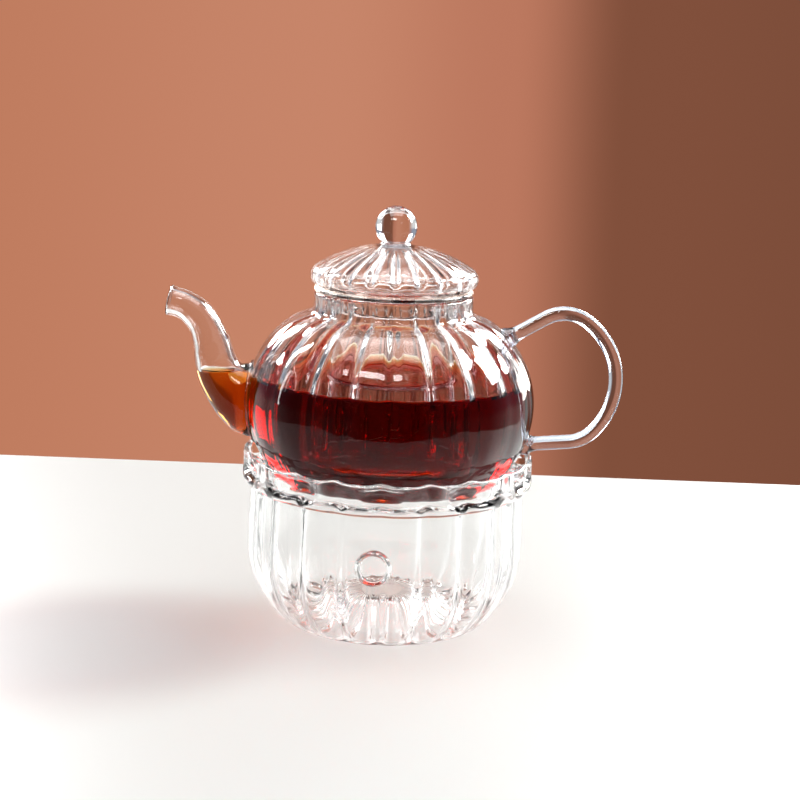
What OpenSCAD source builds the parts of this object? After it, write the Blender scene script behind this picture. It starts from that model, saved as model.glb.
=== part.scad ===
// Rib-moulded glass teapot with an infuser and a lid, standing in the collar of its glass warmer.
// Millimetres. Z is up, z = 0 is the table, the pot's axis is Z, the spout points to -X, the handle to +X.

/* [Glass] */
// Thickness of the pot's, lid's and warmer's walls
wall = 2.2; // [1.8:0.1:2.6]
// Thickness of the infuser's and spout's walls
thin_wall = 1.8; // [1.4:0.1:2.0]
// Gap left between two loose pieces that touch
seat_gap = 0.2; // [0.1:0.05:0.4]

/* [Warmer] */
// Largest outer radius of the warmer's bowl
bowl_r = 60.8; // [59:0.2:62]
// Height of the bowl's widest part
bowl_z = 33.9; // [32:0.1:36]
// Radius of the curve from the bowl's widest part down to its foot
bowl_curve = 45; // [43:0.5:47]
// Radius of the rounded edge between the bowl and its foot
foot_edge = 8; // [6:0.5:10]
// Height to which the middle of the base is pushed up
punt_z = 9; // [6:0.5:11]
// Radius of the flat top of the pushed-up middle
punt_r = 14; // [10:1:18]
// Height of the warmer's rim
rim_z = 74.7; // [73:0.1:76]
// Number of thumb dents round the collar
dent_count = 10; // [5:1:10]
// Width of one thumb dent, seen from outside
dent_width = 25; // [22:0.5:26]
// Height of one thumb dent at its deepest
dent_height = 7.2; // [6:0.2:7.4]
// Height of the dents' middle
dent_z = 69; // [68:0.2:69.4]

/* [Air hole] */
// Radius of the warmer's air hole
vent_r = 5.4; // [5:0.1:6.4]
// Width of the polished ring round the air hole
vent_lip = 2.2; // [1.8:0.1:2.6]
// Height of the air hole's middle
vent_z = 39.2; // [36:0.2:44]
// Angle of the air hole round the axis, from +X
vent_turn = -93.8; // [-100:0.2:-80]

/* [Pot] */
// Largest outer radius of the pot's belly
belly_r = 62.9; // [62:0.1:64]
// Height of the belly's widest part
belly_z = 97.1; // [96.6:0.1:97.6]
// Height of the pot's flat bottom
base_z = 62.8; // [62.4:0.1:63.4]
// Radius of the pot's rounded bottom edge
base_edge = 9; // [8:0.5:11]
// Radius of the curve below the belly's widest part
belly_low = 45.2; // [44:0.2:46]
// Radius of the curve above the belly's widest part
belly_high = 42.8; // [42:0.2:44]
// Angle that the upper belly curve turns through
belly_turn = 50.4; // [48:0.2:52]
// Radius of the tighter shoulder curve
shoulder_curve = 26.1; // [25:0.2:27]
// Angle that the shoulder curve turns through
shoulder_turn = 24.6; // [22:0.2:26]
// Outer radius of the neck
neck_r = 34.4; // [34:0.1:35]
// Height of the neck's rim
neck_z = 144.8; // [144:0.1:146]

/* [Spout] */
// Radius of the opening from the pot into the spout
spout_hole_r = 10; // [8:0.5:11]
// Height of the middle of the spout's root
root_z = 94.4; // [93:0.2:96]
// Half height of the spout's root where it meets the belly
root_half_height = 17; // [16:0.2:18]
// Width of the root as a share of its height
root_squeeze = 0.8; // [0.7:0.05:0.9]

/* [Handle] */
// Diameter of the handle's glass rod
rod_d = 6.2; // [5.6:0.1:7]
// Where the rod leaves the shoulder: distance from the axis and height
rod_start = [49.9, 126.4];
// Slope of the rod's straight upper stretch, in degrees
rod_slope = 30.75; // [29:0.25:32]
// Length of the straight upper stretch
rod_top = 19; // [18:0.5:20]
// Radius of the two tighter bends
bend_tight = 16.4; // [15:0.2:18]
// Radius of the wide bend between them
bend_wide = 32.3; // [31:0.1:33.5]
// Length of the straight lower stretch, up to the inside of the belly's wall
rod_low = 22; // [21:0.5:23]
// How far the melted glass at a joint spreads beyond the rod
weld_spread = 2.6; // [2:0.2:4]
// How far the melted glass runs up the rod
weld_run = 7; // [5:0.5:9]

/* [Infuser] */
// Outer radius of the infuser cup
cup_r = 27.6; // [26:0.1:28]
// Height of the outside of the cup's floor
cup_floor_z = 74.5; // [72:0.5:80]
// Radius of the cup's rounded bottom edge
cup_edge = 7; // [5:0.5:9]
// Number of straining slits, an even number
slit_count = 20; // [8:2:28]
// Width of one slit
slit_w = 1.2; // [0.8:0.1:1.6]
// Height of one slit
slit_h = 14; // [8:1:20]

/* [Lid] */
// Largest radius of the lid
lid_r = 36.3; // [35.6:0.1:37]
// Radius of the lid's domed crown
crown_curve = 62.7; // [60:0.1:66]
// Radius of the lid's rolled edge
lid_edge = 4.8; // [4.4:0.1:5.2]
// Outer radius of the ring that locates the lid in the infuser
flange_r = 22.6; // [21:0.1:24]
// How far that ring reaches down below the lid's edge
flange_drop = 11; // [8:0.5:14]
// Radius of the ball knob
knob_r = 9; // [8.4:0.1:9.6]
// Height of the ball's middle above the top of the crown
knob_rise = 7.3; // [7:0.1:7.6]
// Radius of the fused neck under the ball
stem_r = 6.4; // [6:0.1:6.6]

/* [Hidden] */

$fn = 96;
clear_glass = [0.86, 0.92, 0.94, 0.55];
weld_glass = [0.96, 0.98, 1.0, 0.8];
arc_step = 5; // degrees between two points of a curve

// Turning path: a start point, a heading, and steps of [radius, turn]. Radius 0 means a straight line
// whose length is the second number. A positive turn goes left, and the wall's inside is on the left.
function left_of(a) = [-sin(a), cos(a)];
function heading(a) = [cos(a), sin(a)];
function moved(p, a, s) = s[0] == 0 ? p + s[1] * heading(a)
    : p + sign(s[1]) * s[0] * (left_of(a) - left_of(a + s[1]));
function turned(a, s) = s[0] == 0 ? a : a + s[1];
function step_count(s) = s[0] == 0 ? 1 : max(2, ceil(abs(s[1]) / arc_step));
function part_of(s, share) = [s[0], s[1] * share];
function walk(p, a, steps, offset, i = 0) = i == len(steps)
    ? [p + offset * left_of(a)]
    : concat(
        [for (j = [0 : step_count(steps[i]) - 1])
            let (bit = part_of(steps[i], j / step_count(steps[i])))
            moved(p, a, bit) + offset * left_of(turned(a, bit))],
        walk(moved(p, a, steps[i]), turned(a, steps[i]), steps, offset, i + 1)
    );
// The heading at each of walk's points
function headings(a, steps, i = 0) = i == len(steps)
    ? [a]
    : concat(
        [for (j = [0 : step_count(steps[i]) - 1])
            turned(a, part_of(steps[i], j / step_count(steps[i])))],
        headings(turned(a, steps[i]), steps, i + 1)
    );
function backwards(list) = [for (i = [len(list) - 1 : -1 : 0]) list[i]];
function last_of(list) = list[len(list) - 1];
// The half circle that rounds off a wall's free edge, from its outer side to its inner side
function round_edge(p, a, t) = [for (w = [-60 : 30 : 60])
    p + t / 2 * left_of(a) + t / 2 * (cos(w) * heading(a) + sin(w) * left_of(a))];
// A wall of even thickness along a path, with its free end rounded
function wall_outline(p, a, steps, t) =
    let (outer = walk(p, a, steps, 0), inner = walk(p, a, steps, t))
    concat(outer, round_edge(last_of(outer), last_of(headings(a, steps)), t), backwards(inner));

module turned_wall(p, a, steps, t) {
    rotate_extrude(angle = 360) polygon(wall_outline(p, a, steps, t));
}

// The same wall cut off square at both ends, where the next stretch of it goes on
module turned_stretch(p, a, steps, t) {
    rotate_extrude(angle = 360) polygon(concat(walk(p, a, steps, 0), backwards(walk(p, a, steps, t))));
}

// Pot outline, from the middle of its bottom out and up to the rim
base_angle = acos((belly_z - base_z - base_edge) / (belly_low - base_edge));
base_flat = belly_r - base_edge * sin(base_angle) - belly_low * (1 - sin(base_angle));
neck_turn = belly_turn + shoulder_turn;
shoulder_end = [
    belly_r - belly_high * (1 - cos(belly_turn)) - shoulder_curve * (cos(belly_turn) - cos(neck_turn)),
    belly_z + belly_high * sin(belly_turn) + shoulder_curve * (sin(neck_turn) - sin(belly_turn))
];
neck_curve = (shoulder_end[0] - neck_r) / (1 - cos(neck_turn));
neck_length = neck_z - wall / 2 - shoulder_end[1] - neck_curve * sin(neck_turn);
bowl_path = [[0, base_flat], [base_edge, base_angle], [belly_low, 90 - base_angle]];
shoulder_path = [[belly_high, belly_turn], [shoulder_curve, shoulder_turn]];
neck_path = [[neck_curve, -neck_turn], [0, neck_length]];
pot_path = concat(bowl_path, shoulder_path, neck_path);

// Radius of the belly's outside at height z, between the bottom edge and the shoulder curve
function belly_at(z) = z > belly_z
    ? belly_r - belly_high + sqrt(pow(belly_high, 2) - pow(z - belly_z, 2))
    : belly_r - belly_low + sqrt(pow(belly_low, 2) - pow(z - belly_z, 2));

// Warmer outline, from the pushed-up middle of its base out and up to the rim
foot_angle = acos((bowl_z - foot_edge) / (bowl_curve - foot_edge));
foot_r = bowl_r - foot_edge * sin(foot_angle) - bowl_curve * (1 - sin(foot_angle));
punt_slope = 35;
punt_bend = 10;
punt_fall = (punt_z - 2 * punt_bend * (1 - cos(punt_slope))) / sin(punt_slope);
foot_flat = foot_r - punt_r - 2 * punt_bend * sin(punt_slope) - punt_fall * cos(punt_slope);
waist_radius = 231;
waist_turn = 4;
flare_curve = 14;
flare_turn = 32;
collar_turn = flare_turn - waist_turn;
waist = [
    bowl_r - waist_radius * (1 - cos(waist_turn)),
    bowl_z + waist_radius * sin(waist_turn)
];
collar_r = waist[0] + flare_curve * (cos(waist_turn) - cos(collar_turn))
    + flare_curve * (1 - cos(collar_turn));
collar_z = waist[1] + flare_curve * (sin(collar_turn) + sin(waist_turn)) + flare_curve * sin(collar_turn);
collar_length = rim_z - wall / 2 - collar_z;
warmer_base_path = [
    [0, punt_r], [punt_bend, -punt_slope], [0, punt_fall], [punt_bend, punt_slope], [0, foot_flat],
    [foot_edge, foot_angle]
];
warmer_bowl_path = [[bowl_curve, 90 - foot_angle], [waist_radius, waist_turn], [flare_curve, -flare_turn]];
warmer_collar_path = [[flare_curve, collar_turn], [0, collar_length]];
base_end = last_of(walk([0, punt_z], 0, warmer_base_path, 0));
bowl_end = last_of(walk(base_end, foot_angle, warmer_bowl_path, 0));

// A thumb dent is the bite of a round-edged disc. Its inner bulge just clears the pot's belly.
dent_tube = dent_height / 2;
bulge_tube = dent_tube + wall;
dent_reach = belly_r - belly_low
    + sqrt(pow(belly_low + seat_gap + bulge_tube, 2) - pow(belly_z - dent_z, 2));
dent_depth = collar_r - dent_reach + dent_tube;
dent_disc = (pow(dent_width / 2, 2) + pow(dent_depth, 2)) / (2 * dent_depth);
dent_ring = dent_disc - dent_tube;
first_dent = -91.5;

module rounded_disc(ring_r, tube_r) {
    rotate_extrude(angle = 360) {
        translate([ring_r, 0]) circle(r = tube_r);
        translate([0, -tube_r]) square([ring_r, 2 * tube_r]);
    }
}

module at_each_dent() {
    for (i = [0 : dent_count - 1])
        rotate([0, 0, first_dent + i * 360 / dent_count])
            translate([dent_reach + dent_ring, 0, dent_z])
                children();
}

vent_through = 20; // length of the cut that makes the air hole
// Places its children on the bowl's wall at the air hole, with +Z pointing out of the hole
vent_wall_r = bowl_r - waist_radius * (1 - cos(asin((vent_z - bowl_z) / waist_radius)));
module at_vent() {
    rotate([0, 0, vent_turn]) translate([vent_wall_r, 0, vent_z]) rotate([0, 90, 0]) children();
}

// The warmer is one wall too, told as its pushed-up base, its bowl and its dented collar
module warmer_base() {
    color(clear_glass) turned_stretch([0, punt_z], 0, warmer_base_path, wall);
}

module warmer_bowl() {
    color(clear_glass)
    difference() {
        turned_stretch(base_end, foot_angle, warmer_bowl_path, wall);
        at_vent() translate([0, 0, -vent_through / 2]) cylinder(r = vent_r + vent_lip, h = vent_through);
    }
}

module warmer_collar() {
    color(clear_glass)
    difference() {
        union() {
            turned_wall(bowl_end, 90 - collar_turn, warmer_collar_path, wall);
            intersection() {
                translate([0, 0, collar_z - wall])
                    cylinder(r = collar_r - wall / 2, h = rim_z - collar_z + wall);
                at_each_dent() rounded_disc(dent_ring, bulge_tube);
            }
        }
        at_each_dent() rounded_disc(dent_ring, dent_tube);
    }
}

// The ring fills the hole cut in the bowl and bulges out of it
vent_depth = 3.8;
vent_bulge = 1.6;
module vent_ring() {
    color(weld_glass)
    at_vent()
        difference() {
            union() {
                translate([0, 0, -vent_depth]) cylinder(r = vent_r + vent_lip, h = vent_depth);
                rotate_extrude(angle = 360)
                    intersection() {
                        translate([vent_r + vent_lip / 2, 0]) circle(r = vent_bulge);
                        translate([vent_r - 1, 0]) square([vent_lip + 1, vent_bulge]);
                    }
            }
            translate([0, 0, -vent_through / 2]) cylinder(r = vent_r, h = vent_through);
        }
}

module pot_solid() {
    rotate_extrude(angle = 360)
        polygon(concat(walk([0, base_z], 0, pot_path, 0), [[0, neck_z - wall / 2]]));
}

module spout_hole() {
    hole_length = 20;
    translate([-belly_r - hole_length / 4, 0, root_z])
        rotate([0, 90, 0]) cylinder(r = spout_hole_r, h = hole_length);
}

// The pot is one blown wall, told in three stretches: below its widest part, over the shoulder, the neck
module pot_bowl() {
    color(clear_glass)
    difference() {
        turned_stretch([0, base_z], 0, bowl_path, wall);
        spout_hole();
    }
}

module pot_shoulder() {
    color(clear_glass)
    difference() {
        turned_stretch([belly_r, belly_z], 90, shoulder_path, wall);
        spout_hole();
    }
}

module pot_neck() {
    color(clear_glass) turned_wall(shoulder_end, 90 + neck_turn, neck_path, wall);
}

// Spout: distance out from the belly's widest radius, height above the table, outer radius, and the
// direction that the ring faces in degrees, from the pouring lip to just before the root
spout_points = [
    [33.6, 137.8, 6.7, -11], [32.0, 137.4, 6.3, -13], [27.4, 135.9, 6.4, -19], [22.2, 132.1, 7.1, -29],
    [19.3, 128.2, 7.4, -42], [16.5, 121.7, 8.1, -55], [15.3, 117.5, 8.8, -60], [13.3, 109.9, 9.3, -62],
    [10.6, 104.2, 10.5, -43], [7.1, 99.2, 12.8, -21], [3.4, 95.8, 15.1, -5]
];
spout_sides = 20;
spout_split = 2; // rings for each gap between two points

function catmull(p, t) = 0.5 * (2 * p[1] + (p[2] - p[0]) * t
    + (2 * p[0] - 5 * p[1] + 4 * p[2] - p[3]) * t * t
    + (3 * p[1] - p[0] - 3 * p[2] + p[3]) * t * t * t);
function clamp_to(i, list) = list[max(0, min(len(list) - 1, i))];
spout_line = [for (i = [0 : len(spout_points) - 2], k = [0 : spout_split - 1])
    catmull([for (j = [-1 : 2]) clamp_to(i + j, spout_points)], k / spout_split)];
spout_run = concat(spout_line, [last_of(spout_points)]);
function spout_centre(i) = [-belly_r - spout_run[i][0], spout_run[i][1]];
// How much narrower than tall a ring is, easing in over the last rings
function squeeze_at(i) = 1 - (1 - root_squeeze) * pow(i / (len(spout_run) - 1), 3);
function spout_ring(i, inset) =
    let (c = spout_centre(i), r = spout_run[i][2] - inset, a = spout_run[i][3])
    [for (k = [0 : spout_sides - 1])
        let (w = 360 * k / spout_sides, up = c + r * cos(w) * left_of(a))
        [up[0], r * squeeze_at(i) * sin(w), up[1]]];
// The ring where the spout meets the belly, seated on the belly's own curve
function root_point(w, inset, lift) =
    let (r = root_half_height - inset, y = r * root_squeeze * sin(w), z = root_z + r * cos(w))
    [-sqrt(pow(belly_at(z) + lift, 2) - y * y), y, z];
function root_ring(inset) = [for (k = [0 : spout_sides - 1]) root_point(360 * k / spout_sides, inset, 0)];

// Closed tube: outer rings one way and inner rings back, joined at both ends
module tube(outer, inner) {
    n = len(outer[0]);
    rings = concat(outer, backwards(inner));
    count = len(rings);
    polyhedron(
        points = [for (ring = rings, p = ring) p],
        faces = [for (i = [0 : count - 1], k = [0 : n - 1], half = [0, 1])
            let (a = i * n + k, b = i * n + (k + 1) % n)
            let (c = (i + 1) % count * n + (k + 1) % n, d = (i + 1) % count * n + k)
            half == 0 ? [a, b, c] : [a, c, d]]
    );
}

spout_knee = 16; // the ring where the slim tube ends and the swelling root begins
module spout_tube() {
    rings = [0 : spout_knee];
    color(clear_glass)
        tube([for (i = rings) spout_ring(i, 0)], [for (i = rings) spout_ring(i, thin_wall)]);
}

module spout_root() {
    rings = [spout_knee : len(spout_run) - 1];
    color(clear_glass)
        tube(
            concat([for (i = rings) spout_ring(i, 0)], [root_ring(0)]),
            concat([for (i = rings) spout_ring(i, thin_wall)], [root_ring(thin_wall)])
        );
}

// Bead of melted glass that follows the spout's root round the belly
seam_r = 1.1;
seam_points = 32;
seam_sides = 8;
function unit(v) = v / norm(v);
module spout_joint() {
    at = [for (k = [0 : seam_points - 1]) root_point(360 * k / seam_points, -seam_r - 0.1, seam_r)];
    rings = [for (k = [0 : seam_points - 1])
        let (ahead = at[(k + 1) % seam_points] - at[(k + seam_points - 1) % seam_points])
        let (along = ahead / norm(ahead), out = unit(cross(along, [-1, 0, 0])), side = cross(along, out))
        [for (j = [0 : seam_sides - 1])
            at[k] + seam_r * (cos(360 * j / seam_sides) * out + sin(360 * j / seam_sides) * side)]];
    color(weld_glass)
    polyhedron(
        points = [for (ring = rings, p = ring) p],
        faces = [for (i = [0 : seam_points - 1], k = [0 : seam_sides - 1], half = [0, 1])
            let (a = i * seam_sides + k, b = i * seam_sides + (k + 1) % seam_sides)
            let (c = (i + 1) % seam_points * seam_sides + (k + 1) % seam_sides)
            let (d = (i + 1) % seam_points * seam_sides + k)
            half == 0 ? [a, c, b] : [a, d, c]]
    );
}

// Handle: straight, tight bend, wide bend, tight bend, straight. Its ends start inside the pot's wall
// and are trimmed to the belly.
rod_r = rod_d / 2;
rod_inset = 3;
rod_sides = 16;
handle_start = rod_start - rod_inset * heading(rod_slope);
handle_steps = [
    [0, rod_top + rod_inset], [bend_tight, -64], [bend_wide, -99.5], [bend_tight, -42], [0, rod_low]
];
rod_line = walk(handle_start, rod_slope, handle_steps, 0);
rod_headings = headings(rod_slope, handle_steps);
function rod_ring(c, a) = [for (k = [0 : rod_sides - 1])
    let (w = 360 * k / rod_sides, p = c + rod_r * cos(w) * left_of(a))
    [p[0], rod_r * sin(w), p[1]]];

// Closed rod through a list of rings, with flat ends
module rod(rings) {
    n = len(rings[0]);
    count = len(rings);
    polyhedron(
        points = [for (ring = rings, p = ring) p],
        faces = concat(
            [for (i = [0 : count - 2], k = [0 : n - 1], half = [0, 1])
                let (a = i * n + k, b = i * n + (k + 1) % n)
                let (c = (i + 1) * n + (k + 1) % n, d = (i + 1) * n + k)
                half == 0 ? [a, b, c] : [a, c, d]],
            [[for (k = [n - 1 : -1 : 0]) k]],
            [[for (k = [0 : n - 1]) (count - 1) * n + k]]
        )
    );
}

module handle() {
    color(clear_glass)
    difference() {
        rod([for (i = [0 : len(rod_line) - 1]) rod_ring(rod_line[i], rod_headings[i])]);
        pot_solid();
    }
}

// Melted collar round the rod, flared towards the wall it is fused to
module weld_collar() {
    difference() {
        rotate_extrude(angle = 360)
            polygon(concat(
                [[0, -weld_run / 2], [rod_r + weld_spread, -weld_run / 2], [rod_r + weld_spread, 0]],
                [for (w = [0 : 10 : 90])
                    [rod_r + 0.3 + (weld_spread - 0.3) * (1 - sin(w)), weld_run * (1 - cos(w))]],
                [[0, weld_run]]
            ));
        translate([0, 0, -2 * weld_run]) cylinder(r = rod_r, h = 4 * weld_run);
    }
}

module handle_top_joint() {
    color(weld_glass)
    difference() {
        translate([rod_start[0], 0, rod_start[1]]) rotate([0, 90 - rod_slope, 0]) weld_collar();
        pot_solid();
    }
}

rod_end = last_of(rod_line);
lower_slope = last_of(rod_headings) + 180;
lower_joint = [belly_at(rod_end[1]), rod_end[1] + (belly_at(rod_end[1]) - rod_end[0]) * tan(lower_slope)];
module handle_bottom_joint() {
    color(weld_glass)
    difference() {
        translate([lower_joint[0], 0, lower_joint[1]]) rotate([0, 90 - lower_slope, 0]) weld_collar();
        pot_solid();
    }
}

// Infuser cup: floor, rounded edge, straight side, then a rim that flares out over the pot's neck
rim_bend = 3;
cup_rim_z = neck_z + seat_gap;
cup_side = cup_rim_z - cup_floor_z - cup_edge - rim_bend;
module infuser_base() {
    color(clear_glass)
        turned_stretch([0, cup_floor_z], 0, [[0, cup_r - cup_edge], [cup_edge, 90]], thin_wall);
}

module infuser_rim() {
    color(clear_glass)
        turned_wall([cup_r, cup_rim_z - rim_bend], 90,
            [[rim_bend, -90], [0, neck_r - cup_r - rim_bend - thin_wall / 2]], thin_wall);
}

slit_from = cup_edge + 1;
module infuser_wall() {
    color(clear_glass)
    difference() {
        turned_stretch([cup_r, cup_floor_z + cup_edge], 90, [[0, cup_side]], thin_wall);
        for (i = [0 : slit_count / 2 - 1])
            rotate([0, 0, i * 360 / slit_count])
                translate([-cup_r - 5, -slit_w / 2, cup_floor_z + slit_from])
                    cube([2 * cup_r + 10, slit_w, slit_h]);
    }
}

// Lid: crown, rolled edge, then an underside that runs in to the locating ring
lid_bottom = cup_rim_z + thin_wall + seat_gap;
edge_centre = lid_r - lid_edge;
crown_angle = asin(edge_centre / (crown_curve - lid_edge));
crown_top = lid_bottom + lid_edge + crown_curve - (crown_curve - lid_edge) * cos(crown_angle);
module lid_dome() {
    lid_path = [[crown_curve, -crown_angle], [lid_edge, crown_angle - 180], [0, edge_centre - flange_r]];
    color(clear_glass)
        rotate_extrude(angle = 360)
            polygon(concat(
                walk([0, crown_top], 0, lid_path, 0),
                backwards(walk([0, crown_top], 0, lid_path, -wall))
            ));
}

module lid_flange() {
    color(clear_glass)
    translate([0, 0, lid_bottom - flange_drop])
        difference() {
            cylinder(r = flange_r, h = flange_drop + wall);
            translate([0, 0, -1]) cylinder(r = flange_r - thin_wall, h = flange_drop + wall + 2);
        }
}

knob_z = crown_top + knob_rise;
knob_cut_z = knob_z - sqrt(pow(knob_r, 2) - pow(stem_r, 2));
stem_spread = 1.8;
function crown_at(r) = crown_top - crown_curve + sqrt(pow(crown_curve, 2) - pow(r, 2));
module knob_stem() {
    height = knob_cut_z - crown_at(stem_r + stem_spread);
    color(weld_glass)
        rotate_extrude(angle = 360)
            polygon(concat(
                [for (share = [0 : 0.25 : 1]) let (r = share * (stem_r + stem_spread)) [r, crown_at(r)]],
                [for (w = [15 : 15 : 90])
                    [stem_r + stem_spread * (1 - sin(w)), knob_cut_z - height * cos(w)]],
                [[0, knob_cut_z]]
            ));
}

module lid_knob() {
    color(clear_glass)
    intersection() {
        translate([0, 0, knob_z]) sphere(r = knob_r);
        translate([-knob_r, -knob_r, knob_cut_z]) cube([2 * knob_r, 2 * knob_r, 2 * knob_r]);
    }
}

warmer_base();
warmer_bowl();
warmer_collar();
vent_ring();
pot_bowl();
pot_shoulder();
pot_neck();
spout_tube();
spout_root();
spout_joint();
handle();
handle_top_joint();
handle_bottom_joint();
infuser_base();
infuser_wall();
infuser_rim();
lid_dome();
lid_flange();
knob_stem();
lid_knob();
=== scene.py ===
# %% [markdown]
# # A rib-moulded glass teapot on its warmer
# The pot, its infuser and its lid are thin blown glass. Almost everything that the eye sees in them is
# light bent by walls of uneven thickness, so the walls are modelled with both of their faces and with
# the ribs that the mould left, and not as single sheets. The frame below brings in the measured bodies
# that the pieces ride on: a warmer, the pot, the infuser cup and the lid.

# %% Open the frame
import math

import bmesh
import bpy
import numpy as np
from mathutils import Matrix, Vector


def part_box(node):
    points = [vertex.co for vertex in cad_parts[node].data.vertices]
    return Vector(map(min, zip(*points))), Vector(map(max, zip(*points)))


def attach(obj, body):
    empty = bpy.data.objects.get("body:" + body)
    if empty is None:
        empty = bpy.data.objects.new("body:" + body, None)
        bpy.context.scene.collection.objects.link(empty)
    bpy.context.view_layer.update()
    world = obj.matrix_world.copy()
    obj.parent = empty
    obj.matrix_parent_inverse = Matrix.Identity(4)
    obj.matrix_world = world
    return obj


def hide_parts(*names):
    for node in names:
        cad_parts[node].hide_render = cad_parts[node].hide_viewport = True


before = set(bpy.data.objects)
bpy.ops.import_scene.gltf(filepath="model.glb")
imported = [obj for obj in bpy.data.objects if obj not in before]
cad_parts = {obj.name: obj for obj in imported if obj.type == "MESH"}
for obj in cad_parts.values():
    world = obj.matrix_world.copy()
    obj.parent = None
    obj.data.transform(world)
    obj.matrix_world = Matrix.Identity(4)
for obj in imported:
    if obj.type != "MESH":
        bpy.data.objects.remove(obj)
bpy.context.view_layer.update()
MM = 0.001
MERGE = 0.000002  # points closer than this many metres are one point

# %% [markdown]
# ## Camera
# A long lens from a little above the lid keeps the round rims as flat ovals. It stands about 70 cm away,
# looks down by twelve degrees and is tipped very slightly sideways. It comes first, so that every later
# look at the scene is through the same lens.

# %% Camera
CAMERA_PLACE = (0.0044, -0.6857, 0.2428)
LOOK_DOWN, SIDE_TIP = 11.97, 2.2  # degrees

def add_camera():
    data = bpy.data.cameras.new("camera")
    data.lens, data.sensor_width = 72, 36
    data.clip_start, data.clip_end = 0.02, 20
    camera = bpy.data.objects.new("camera", data)
    bpy.context.scene.collection.objects.link(camera)
    pitch = Matrix.Rotation(math.radians(90 - LOOK_DOWN), 4, "X")
    camera.matrix_world = (
        Matrix.Translation(CAMERA_PLACE) @ (pitch @ Matrix.Rotation(math.radians(SIDE_TIP), 4, "Z"))
    )
    bpy.context.scene.camera = camera
    return camera

camera = add_camera()
print("camera at", [round(c, 4) for c in camera.location])

# %% [markdown]
# ## Room
# Glass shows its surroundings. A pale table top stands under the pot, with a clay-coloured wall behind it
# that darkens to the right. To both sides the room turns blue-grey, and behind the lens it is dark, so that
# ribs and rims read grey, white or black against the clay. The room light that falls on the table is kept
# neutral, so the clay tone doesn't stain it.

# %% Table
def shader_tree(owner):
    owner.use_nodes = True
    tree = owner.node_tree
    tree.nodes.clear()
    return tree

def add_table():
    material = bpy.data.materials.new("pale_table")
    tree = shader_tree(material)
    out = tree.nodes.new("ShaderNodeOutputMaterial")
    body = tree.nodes.new("ShaderNodeBsdfPrincipled")
    body.inputs["Base Color"].default_value = (0.86, 0.865, 0.835, 1)
    body.inputs["Roughness"].default_value = 0.45
    tree.links.new(body.outputs["BSDF"], out.inputs["Surface"])
    bm = bmesh.new()
    bmesh.ops.create_grid(bm, x_segments=1, y_segments=1, size=0.5)
    bmesh.ops.scale(bm, vec=(0.80, 0.53, 1), verts=bm.verts)
    bmesh.ops.translate(bm, vec=(0, -0.01, 0), verts=bm.verts)
    mesh = bpy.data.meshes.new("table_top")
    bm.to_mesh(mesh)
    bm.free()
    mesh.materials.append(material)
    table = bpy.data.objects.new("table_top", mesh)
    bpy.context.scene.collection.objects.link(table)
    return table

table = add_table()
print("table", [round(v, 3) for v in table.dimensions])

# %% Bands of colour
def band(tree, source, low, high, stops):
    """Colours that follow one another as the source goes from low to high. The two ends come first."""
    span, ramp = tree.nodes.new("ShaderNodeMapRange"), tree.nodes.new("ShaderNodeValToRGB")
    span.inputs["From Min"].default_value, span.inputs["From Max"].default_value = low, high
    tree.links.new(source, span.inputs["Value"])
    tree.links.new(span.outputs["Result"], ramp.inputs["Fac"])
    ramp.color_ramp.interpolation = "EASE"
    for i, (spot, colour) in enumerate(stops):
        stop = ramp.color_ramp.elements[i] if i < 2 else ramp.color_ramp.elements.new(spot)
        stop.position, stop.color = spot, (*colour, 1)
    return ramp.outputs["Color"]

def blend(tree, first, second, factor=None, kind="MIX"):
    node = tree.nodes.new("ShaderNodeMix")
    node.data_type, node.blend_type = "RGBA", kind
    if factor is None:
        node.inputs["Factor"].default_value = 1.0
    else:
        tree.links.new(factor, node.inputs["Factor"])
    tree.links.new(first, node.inputs[6])
    tree.links.new(second, node.inputs[7])
    return node.outputs[2]

print("helpers:", band.__name__, blend.__name__)

# %% Clay-toned surroundings
DARK, FULL = (0, 0, 0), (1, 1, 1)
WALL_TONES = [(0.0, (0.52, 0.20, 0.112)), (1.0, (0.20, 0.074, 0.042)), (0.42, (0.57, 0.235, 0.143)),
              (0.60, (0.50, 0.19, 0.115)), (0.72, (0.22, 0.080, 0.045))]
SKY_TONES = [(0.35, (0.36, 0.32, 0.33)), (1.0, (0.55, 0.53, 0.56))]
SIDE_TONES = [(0.0, (0.78, 0.78, 0.76)), (1.0, (0.27, 0.31, 0.39))]

def room_colour(tree):
    place, split = tree.nodes.new("ShaderNodeTexCoord"), tree.nodes.new("ShaderNodeSeparateXYZ")
    aside = tree.nodes.new("ShaderNodeMath")
    aside.operation = "ABSOLUTE"
    tree.links.new(place.outputs["Generated"], split.inputs["Vector"])
    tree.links.new(split.outputs["X"], aside.inputs[0])
    across, ahead, up = (split.outputs[axis] for axis in "XYZ")
    wings = band(tree, aside.outputs[0], 0.40, 0.66, [(0.0, DARK), (1.0, FULL)])
    sky = band(tree, up, 0.20, 0.95, [(0.25, DARK), (0.60, FULL)])
    lit = band(tree, ahead, -0.2, 0.6, [(0.0, (0.14, 0.14, 0.14)), (1.0, FULL)])
    colour = band(tree, across, -0.3, 0.3, WALL_TONES)
    colour = blend(tree, colour, band(tree, up, -0.10, 0.02, SIDE_TONES), wings)
    colour = blend(tree, colour, band(tree, up, 0.20, 0.95, SKY_TONES), sky)
    return blend(tree, colour, lit, kind="MULTIPLY")

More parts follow.
